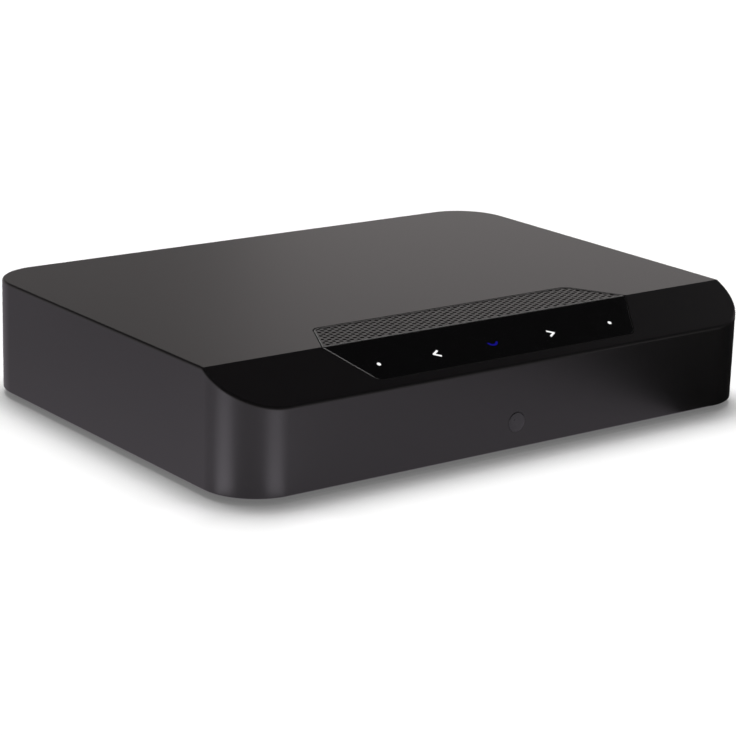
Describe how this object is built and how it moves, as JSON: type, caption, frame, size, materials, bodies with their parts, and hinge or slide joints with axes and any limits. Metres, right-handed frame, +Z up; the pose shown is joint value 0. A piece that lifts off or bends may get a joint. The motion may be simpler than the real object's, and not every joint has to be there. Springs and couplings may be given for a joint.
{
  "type": "network music streamer",
  "caption": "Low music streamer with rounded corners, a front slope carrying a touch strip, a perforated vent behind it, and a rear row of sockets with a sprung optical flap.",
  "frame": {"origin": "middle of the whole footprint, on the surface that the feet stand on", "axes": "+X to the right seen from the front, the front faces -Y, the sockets face +Y, +Z up"},
  "size_m": [0.22, 0.1662, 0.0412],
  "materials": {
    "casing_plastic": "fine matte moulded",
    "vent_metal": "satin black, perforated",
    "touch_glass": "polished black",
    "window_lens": "polished, dark infrared tint",
    "base_plastic": "textured black",
    "panel_metal": "powder coated",
    "foot_rubber": "matte",
    "screw_steel": "zinc plated",
    "inlet_plastic": "moulded",
    "pin_metal": "nickel plated",
    "socket_plastic": "moulded",
    "gold_plate": "gold plated",
    "core_orange": "moulded",
    "core_red": "moulded",
    "core_white": "moulded",
    "core_black": "moulded",
    "emitter_plastic": "clear red",
    "shutter_plastic": "moulded",
    "spring_steel": "drawn wire",
    "port_steel": "tin plated sheet",
    "tongue_plastic": "moulded",
    "circuit_board": "green solder mask",
    "chip_epoxy": "moulded",
    "pad_rubber": "soft",
    "sink_metal": "extruded",
    "fuse_plastic": "moulded",
    "wound_core": "ferrite with taped winding",
    "capacitor_sleeve": "shrink sleeve",
    "sheet_fibre": "fibre",
    "wire_sleeve": "matte",
    "aerial_film": "printed film",
    "lamp_body": "clear",
    "ribbon_film": "film"
  },
  "bodies": {
    "casing": {"top_shell": "casing_plastic", "vent_grille": "vent_metal", "touch_panel": "touch_glass", "ir_window": "window_lens", "base_plate": "base_plastic", "rear_panel": "panel_metal", "feet": "foot_rubber", "base_screws": "screw_steel", "panel_screws": "screw_steel", "board_screws": "screw_steel", "mains_inlet": "inlet_plastic", "mains_pins": "pin_metal", "rca_block": "socket_plastic", "rca_shells": "gold_plate", "rca_coax_core": "core_orange", "rca_right_core": "core_red", "rca_left_core": "core_white", "rca_sub_core": "core_black", "rca_contacts": "gold_plate", "line_jack": "socket_plastic", "trigger_jack": "socket_plastic", "optical_socket": "socket_plastic", "optical_emitter": "emitter_plastic", "shutter_pin": "spring_steel", "shutter_spring": "spring_steel", "hdmi_shell": "port_steel", "hdmi_tongue": "tongue_plastic", "usb_shell": "port_steel", "usb_tongue": "tongue_plastic", "ethernet_shell": "port_steel", "ethernet_insert": "tongue_plastic", "ethernet_contacts": "gold_plate", "main_board": "circuit_board", "power_board": "circuit_board", "processor": "chip_epoxy", "thermal_pad": "pad_rubber", "heat_sink": "sink_metal", "wifi_can": "port_steel", "board_chips": "chip_epoxy", "mains_fuse": "fuse_plastic", "choke": "wound_core", "bulk_capacitor": "capacitor_sleeve", "transformer": "wound_core", "output_capacitors": "capacitor_sleeve", "insulation_sheet": "sheet_fibre", "power_harness": "wire_sleeve", "antennas": "aerial_film", "antenna_leads": "wire_sleeve", "touch_board": "circuit_board", "touch_leds": "lamp_body", "touch_ribbon": "ribbon_film", "ribbon_socket": "tongue_plastic", "ir_board": "circuit_board", "ir_sensor": "chip_epoxy"},
    "shutter": {"optical_shutter": "shutter_plastic"}
  },
  "joints": [
    {"name": "shutter_hinge", "type": "hinge", "parent": "casing", "child": "shutter", "pos_m": [-0.00385, 0.07345, 0.0236], "axis": [-1, 0, 0], "range_deg": [0, 85], "stiffness_Nm_per_rad": 0.0001, "springref_deg": -17.19, "deforming": ["shutter_spring"]}
  ]
}
